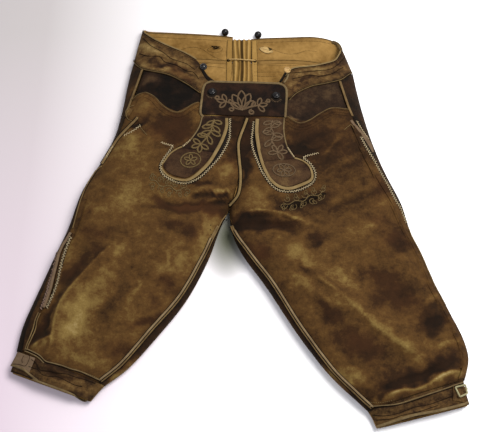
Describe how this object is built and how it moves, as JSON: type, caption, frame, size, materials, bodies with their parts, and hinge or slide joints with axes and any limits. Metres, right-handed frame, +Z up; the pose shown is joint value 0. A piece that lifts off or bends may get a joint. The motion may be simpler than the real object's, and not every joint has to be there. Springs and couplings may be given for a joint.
{
  "type": "lederhosen laid flat",
  "caption": "Knee-length leather trousers with a drop front, embroidered tabs and knee bands, laid flat on their back.",
  "frame": {"origin": "under the middle of the laid-out garment, on the surface it lies on", "axes": "+X towards the wearer's left, +Y from the knees towards the waist, +Z up from the surface"},
  "size_m": [0.7608, 0.7856, 0.0568],
  "materials": {
    "leg_leather": "worn suede, olive brown with dark red-brown patches",
    "band_leather": "worn suede, dark brown",
    "inside_leather": "undyed camel leather",
    "bib_leather": "polished by wear, dark brown",
    "piping_leather": "pale split leather, rubbed",
    "pocket_leather": "dark suede",
    "horn": "polished black",
    "pale_horn": "polished yellow horn",
    "lace_leather": "pale thong leather"
  },
  "bodies": {
    "root": {"front_leg_r": "leg_leather", "front_leg_l": "leg_leather", "back_leg_r": "leg_leather", "back_leg_l": "leg_leather", "side_band_r": "leg_leather", "side_band_l": "leg_leather", "waistband_front_r": "band_leather", "waistband_front_l": "band_leather", "cuff_r": "band_leather", "cuff_l": "band_leather", "knife_pocket_tab": "band_leather", "cuff_strap_r": "band_leather", "cuff_loop_l": "band_leather", "waistband_back_r": "inside_leather", "waistband_back_l": "inside_leather", "back_gusset": "inside_leather", "lace_facing_r": "inside_leather", "lace_facing_l": "inside_leather", "bib": "bib_leather", "tab_upper_r": "bib_leather", "tab_upper_l": "bib_leather", "tab_end_r": "bib_leather", "tab_end_l": "bib_leather", "button_strap_r": "bib_leather", "button_strap_l": "bib_leather", "tab_piping_r": "piping_leather", "tab_piping_l": "piping_leather", "fly_piping": "piping_leather", "side_piping_r": "piping_leather", "side_piping_l": "piping_leather", "inseam_welt_r": "piping_leather", "inseam_welt_l": "piping_leather", "knife_pocket_welt": "piping_leather", "pocket_bearer_r": "pocket_leather", "pocket_bearer_l": "pocket_leather", "bib_button_r": "horn", "bib_button_l": "horn", "brace_button_front_r": "horn", "brace_button_back_r": "horn", "brace_button_back_l": "horn", "brace_button_front_l": "pale_horn", "back_lace": "lace_leather", "leaf_patch": "lace_leather"}
  },
  "joints": []
}
